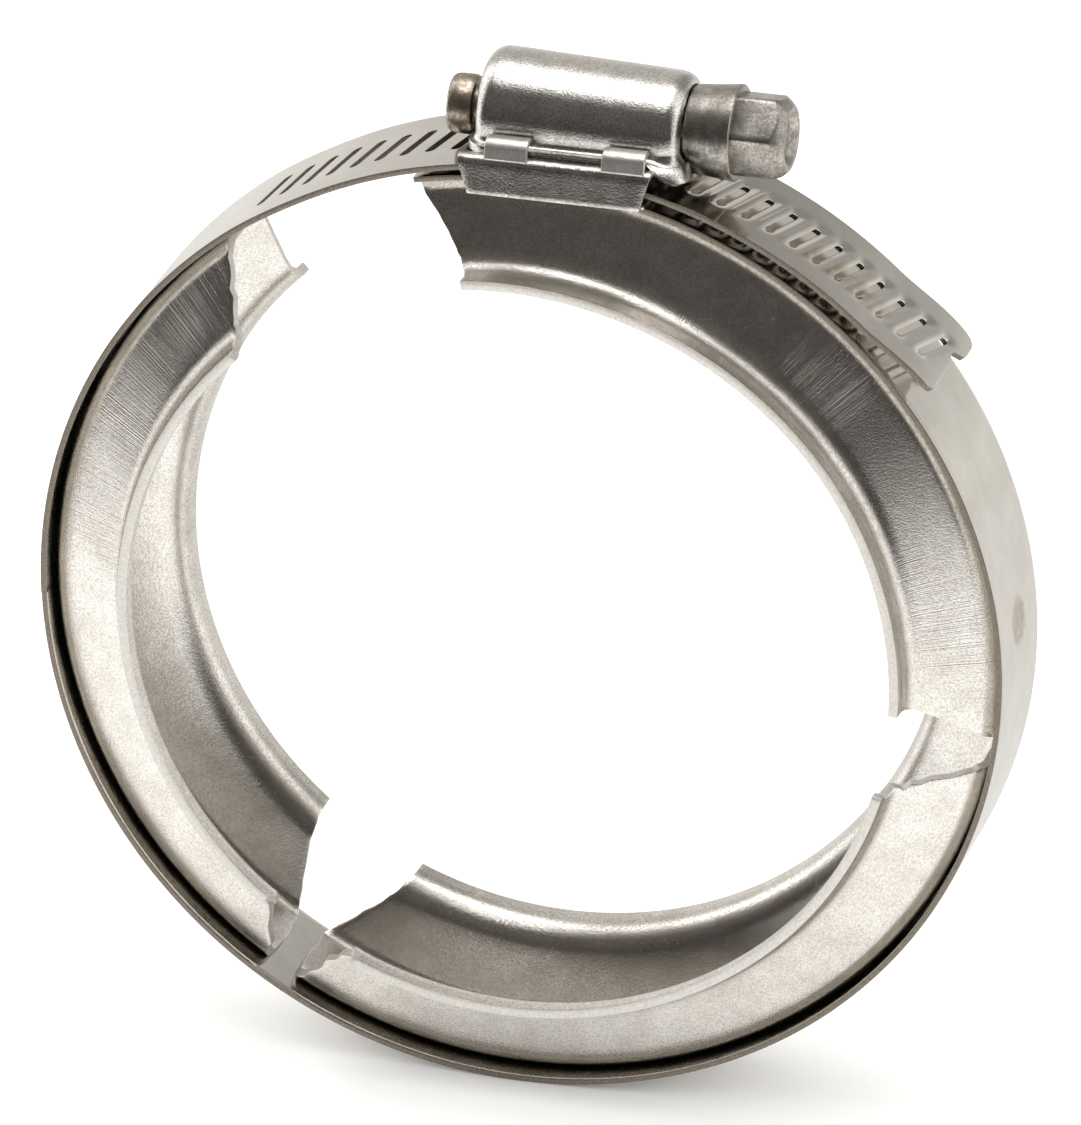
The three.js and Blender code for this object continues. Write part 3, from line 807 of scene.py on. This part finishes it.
def tab_profile(side):
    outside = TAB_HALF - TAB_SHEET / 2
    line = rounded_line([
        (outside + TAB_FLARE, SADDLE_EDGE_HEIGHT - TAB_FOOT_DROP),
        (outside, TAB_TOP - TAB_SHEET / 2),
        (DOME_RADIUS + TAB_TIP_GAP, TAB_TOP - TAB_SHEET / 2 + TAB_TIP_RISE),
    ], (TAB_BEND,), 9, 5)
    return [(side * y, z) for y, z in line]


def blocks_object(name, blocks, material):
    """One object of several separate grids."""
    points, faces = [], []
    for grid in blocks:
        first = len(points)
        for row in grid:
            points.extend(row)
        faces.extend(tuple(first + v for v in face) for face in grid_faces(len(grid), len(grid[0])))
    return make_object(name, points, faces, material)


def build_rails():
    blocks = []
    for side in (-1, 1):
        profile = saddle_profile(side)
        grid = []
        for i in range(SADDLE_STEPS + 1):
            row = []
            for y, z in profile:
                down = (SADDLE_EDGE_HEIGHT - z) / (SADDLE_EDGE_HEIGHT - SKIRT_HEIGHT)
                back = SKIRT_SLANT * min(max(down, 0), 1)
                low, high = SADDLE_FROM + back, SADDLE_TO - back * SKIRT_SLANT_RIGHT
                row.append((lerp(low, high, i / SADDLE_STEPS), y, z))
            grid.append(row if side < 0 else row[::-1])
        blocks.append(grid)
    obj = blocks_object("saddle_rails", blocks, saddle_steel)
    add_sheet(obj, SADDLE_SHEET)
    finished(obj, 0.14)
    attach(obj, "housing")
    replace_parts(obj, "housing_saddle")


def build_tabs():
    blocks = []
    for side in (-1, 1):
        for centre in TAB_CENTRES:
            profile = tab_profile(side)
            grid = []
            for i in range(TAB_ROWS + 1):
                x = centre + TAB_WIDTH * (i / TAB_ROWS - 0.5)
                row = [(x, y, z) for y, z in profile]
                grid.append(row if side < 0 else row[::-1])
            blocks.append(grid)
    tabs = blocks_object("saddle_tabs", blocks, tab_steel)
    add_sheet(tabs, TAB_SHEET)
    finished(tabs, 0.16, segments=3)
    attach(tabs, "housing")


def build_saddle_floor():
    grid = []
    for i in range(FLOOR_ROWS + 1):
        angle = lerp(*FLOOR_ANGLES, i / FLOOR_ROWS)
        grid.append([polar(FLOOR_RADIUS + ring_lift(angle), angle, y) for y in FLOOR_ACROSS])
    plate = blocks_object("saddle_floor", [grid], saddle_steel)
    add_sheet(plate, FLOOR_SHEET)
    finished(plate, 0.08)
    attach(plate, "housing")


build_rails()
build_tabs()
build_saddle_floor()

# ---------------------------------------------------------------- screw

# Profiles are (x, radius) from the axis to the axis.
BOSS_PROFILE = [
    (-8.4, 0), (-8.4, 1.2), (-8.4, 2.45), (-8.32, 2.72), (-8.1, 2.88), (-7.6, 2.95),
    (-6.2, 2.95), (-5.9, 2.8), (-5.9, 2.0), (-5.4, 1.75), (-5.4, 0)]
COLLAR_PROFILE = [
    (14.4, 0), (14.4, 3.0), (15.3, 3.9), (15.75, 4.2), (16.2, 4.36), (17.5, 4.45),
    (19.2, 4.62), (20.0, 4.74), (20.3, 4.74), (20.42, 4.62), (20.45, 4.3), (20.45, 0)]
HEX_FROM, HEX_TO, HEX_FLATS, HEX_TURN = 20.3, 25.5, 7.7, 14.2
HEX_FACE, HEX_DISH, HEX_DISH_DEPTH = 3.15, 2.65, 0.75
HEX_CHAMFER, HEX_CORNER_CUT = 1.35, 0.1
THREAD_FROM, THREAD_TO, THREAD_CREST, THREAD_ROOT, THREAD_PITCH = -5.6, 14.8, 2.35, 1.75, 2.68
THREAD_ROWS_PER_TURN = 16
AROUND = 96


def screw_point(x, radius, turn):
    return (x, radius * math.cos(turn), SCREW_HEIGHT + radius * math.sin(turn))


def lathe(profile):
    """Rows of points around the screw's axis."""
    turns = [2 * math.pi * k / AROUND for k in range(AROUND)]
    return [[screw_point(x, radius, turn) for turn in turns] for x, radius in profile]


def hex_radius(turn):
    """The hexagon's radius in a direction, with its corners slightly cut back."""
    off = (turn - math.radians(180 - HEX_TURN)) % (math.pi / 3) - math.pi / 6
    corner = HEX_FLATS / 2 / math.cos(math.pi / 6)
    return min(HEX_FLATS / 2 / math.cos(off), corner - HEX_CORNER_CUT)


def hex_section(side):
    """The hex end's (x, radius) profile where its radius is side, from the collar to the dished end."""
    corner = HEX_FLATS / 2 / math.cos(math.pi / 6)
    chamfer = HEX_CHAMFER * (side - HEX_FACE) / (corner - HEX_FACE)
    return [
        (HEX_FROM, 0.0),
        (HEX_FROM, side * 0.9),
        (HEX_FROM + 0.02, side),
        (lerp(HEX_FROM, HEX_TO - chamfer, 0.5), side),
        (HEX_TO - chamfer, side),
        (HEX_TO - chamfer * 0.35, lerp(HEX_FACE, side, 0.42)),
        (HEX_TO, HEX_FACE),
        (HEX_TO, HEX_DISH),
        (HEX_TO - HEX_DISH_DEPTH, HEX_DISH - 0.55),
        (HEX_TO - HEX_DISH_DEPTH, 0.0),
    ]


def hex_rows():
    columns = []
    for k in range(AROUND):
        turn = 2 * math.pi * k / AROUND
        columns.append([screw_point(x, radius, turn) for x, radius in hex_section(hex_radius(turn))])
    return [list(row) for row in zip(*columns)]


def thread_rows():
    rows = [[(THREAD_FROM, 0.0, SCREW_HEIGHT)] * AROUND]
    steps = int((THREAD_TO - THREAD_FROM) / THREAD_PITCH * THREAD_ROWS_PER_TURN)
    for i in range(steps + 1):
        x = lerp(THREAD_FROM, THREAD_TO, i / steps)
        row = []
        for k in range(AROUND):
            phase = (x / THREAD_PITCH - k / AROUND) % 1
            rise = min(max(1.5 - abs(phase - 0.5) * 5, 0), 1)
            radius = lerp(THREAD_ROOT, THREAD_CREST, rise * rise * (3 - 2 * rise))
            row.append(screw_point(x, radius, 2 * math.pi * k / AROUND))
        rows.append(row)
    return rows + [[(THREAD_TO, 0.0, SCREW_HEIGHT)] * AROUND]


def turned_object(name, rows, material, edge, sharp=38.0):
    points = [p for row in rows for p in row]
    obj = make_object(name, points, grid_faces(len(rows), AROUND, True), material)
    merge_touching(obj)
    finished(obj, edge, sharp)
    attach(obj, "screw")
    return obj


turned_object("screw_boss", lathe(BOSS_PROFILE), boss_steel, 0.0)
turned_object("screw_thread", thread_rows(), screw_steel, 0.0, 60)
turned_object("screw_collar", lathe(COLLAR_PROFILE), screw_steel, 0.0)
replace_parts(turned_object("screw_hex", hex_rows(), screw_steel, 0.12, 24), "worm_screw")

# ---------------------------------------------------------------- stage, lights and camera

VIEW_AZIMUTH, VIEW_ELEVATION, VIEW_DISTANCE = 16.1, 24.6, 1.1466
LENS, SENSOR = 372.8, 36.0
SHIFT = (0.0036, 0.0376)
CARD_STEPS, CARD_RADIUS, CARD_CENTRE = 16, 0.36, Vector((0, 0, 0.03))
CARD_FADE = (0.0, 0.2)                 # heights in metres between which a card fades to its upper colour
FLOOR_CARD_BACK, FLOOR_CARD_LIFT = 30.0, 0.2
FLOOR_SIZE, FLOOR_GAP = 4000.0, 0.05
PAPER_COLOUR, PAPER_GRAIN_SCALE, PAPER_GRAIN_SHADE = (0.93, 0.93, 0.925), 900.0, 0.985
WORLD_COLOUR, WORLD_STRENGTH = (1.0, 0.995, 0.985, 1.0), 1.32


def paper(name, colour):
    material, tree, shader = new_material(name)
    grain = noise_node(tree, object_coordinates(tree), PAPER_GRAIN_SCALE)
    shade = tuple(c * PAPER_GRAIN_SHADE for c in colour)
    tree.links.new(mix_colour(tree, grain, colour, shade), shader.inputs["Base Color"])
    shader.inputs["Roughness"].default_value = 0.9
    return material


def glow(name, colour, low_colour=None):
    """A glow that may fade from low_colour at the bottom to colour above."""
    material, tree, shader = new_material(name)
    tree.nodes.remove(shader)
    emission = tree.nodes.new("ShaderNodeEmission")
    emission.inputs["Color"].default_value = (*colour, 1.0)
    emission.inputs["Strength"].default_value = 1.0
    if low_colour:
        split = tree.nodes.new("ShaderNodeSeparateXYZ")
        tree.links.new(object_coordinates(tree), split.inputs["Vector"])
        height = map_range(tree, split.outputs["Z"], *CARD_FADE, 0.0, 1.0)
        tree.links.new(mix_colour(tree, height, low_colour, colour), emission.inputs["Color"])
    tree.links.new(emission.outputs["Emission"], tree.nodes["Material Output"].inputs["Surface"])
    return material


def direction(azimuth, elevation):
    """Azimuth 0 is towards the front, -Y, and 90 towards +X."""
    a, e = math.radians(azimuth), math.radians(elevation)
    return Vector((math.sin(a) * math.cos(e), -math.cos(a) * math.cos(e), math.sin(e)))


def only_reflected(name, points, faces, material):
    """A stage piece that shows in reflections and nowhere else."""
    card = make_object(name, points, faces, material)
    card.visible_camera = False
    card.visible_diffuse = False
    card.visible_shadow = False
    card.visible_transmission = False
    card.visible_volume_scatter = False


def reflected_card(name, azimuths, elevations, colour, low_colour):
    """A part of a sphere around the clamp."""
    points = []
    for i in range(CARD_STEPS + 1):
        for j in range(CARD_STEPS + 1):
            way = direction(lerp(*azimuths, i / CARD_STEPS), lerp(*elevations, j / CARD_STEPS))
            points.append(tuple((CARD_CENTRE + way * CARD_RADIUS) / MM))
    faces = grid_faces(CARD_STEPS + 1, CARD_STEPS + 1)
    only_reflected(name, points, faces, glow(name, colour, low_colour))


def reflected_floor(name, azimuths, height, colour):
    """A flat card on the floor behind the clamp."""
    points = []
    for i in range(CARD_STEPS + 1):
        for reach in (0.0, CARD_RADIUS):
            way = direction(lerp(*azimuths, i / CARD_STEPS), 0.0) * reach
            points.append((way.x / MM, way.y / MM + FLOOR_CARD_BACK, height))
    only_reflected(name, points, grid_faces(CARD_STEPS + 1, 2), glow(name, colour))


def area_light(name, azimuth, elevation, distance, size, power):
    data = bpy.data.lights.new(name, "AREA")
    data.shape = "RECTANGLE"
    data.size, data.size_y = size
    data.energy = power
    light = bpy.data.objects.new(name, data)
    way = direction(azimuth, elevation)
    light.location = way * distance
    light.rotation_mode = "QUATERNION"
    light.rotation_quaternion = (-way).to_track_quat("-Z", "Y")
    light.visible_camera = False
    bpy.context.scene.collection.objects.link(light)


floor_height = CAD_LOW.z / MM - FLOOR_GAP
floor_signs = ((-1, -1), (1, -1), (1, 1), (-1, 1))
floor_corners = [(x * FLOOR_SIZE, y * FLOOR_SIZE, floor_height) for x, y in floor_signs]
make_object("floor", floor_corners, [(0, 1, 2, 3)], paper("floor_paper", PAPER_COLOUR))

world = bpy.data.worlds.new("studio")
bpy.context.scene.world = world
world.use_nodes = True
background = world.node_tree.nodes["Background"]
background.inputs["Color"].default_value = WORLD_COLOUR
background.inputs["Strength"].default_value = WORLD_STRENGTH

reflected_card("front_dark_card", (-75, 75), (-13, 70), (0.12, 0.11, 0.102), (0.045, 0.04, 0.037))
reflected_card("back_right_card", (122, 178), (-12, 64), (0.34, 0.33, 0.31), (0.86, 0.84, 0.80))
reflected_card("back_left_card", (178, 238), (-12, 64), (0.60, 0.58, 0.545), (0.92, 0.90, 0.86))
reflected_floor("back_floor_card", (100, 250), floor_height + FLOOR_CARD_LIFT, (0.88, 0.865, 0.83))
area_light("top_softbox", 0, 88, 0.9, (0.5, 0.7), 2.5)
area_light("left_softbox", -120, 35, 1.1, (0.7, 0.9), 1.5)

camera_data = bpy.data.cameras.new("camera")
camera_data.lens = LENS
camera_data.sensor_width = SENSOR
camera_data.shift_x, camera_data.shift_y = SHIFT
camera_data.clip_start, camera_data.clip_end = 0.05, 50.0
camera = bpy.data.objects.new("camera", camera_data)
back = direction(VIEW_AZIMUTH, VIEW_ELEVATION)
camera.location = back * VIEW_DISTANCE
camera.rotation_mode = "QUATERNION"
camera.rotation_quaternion = (-back).to_track_quat("-Z", "Y")
bpy.context.scene.collection.objects.link(camera)
bpy.context.scene.camera = camera
bpy.context.scene.view_settings.view_transform = "Standard"
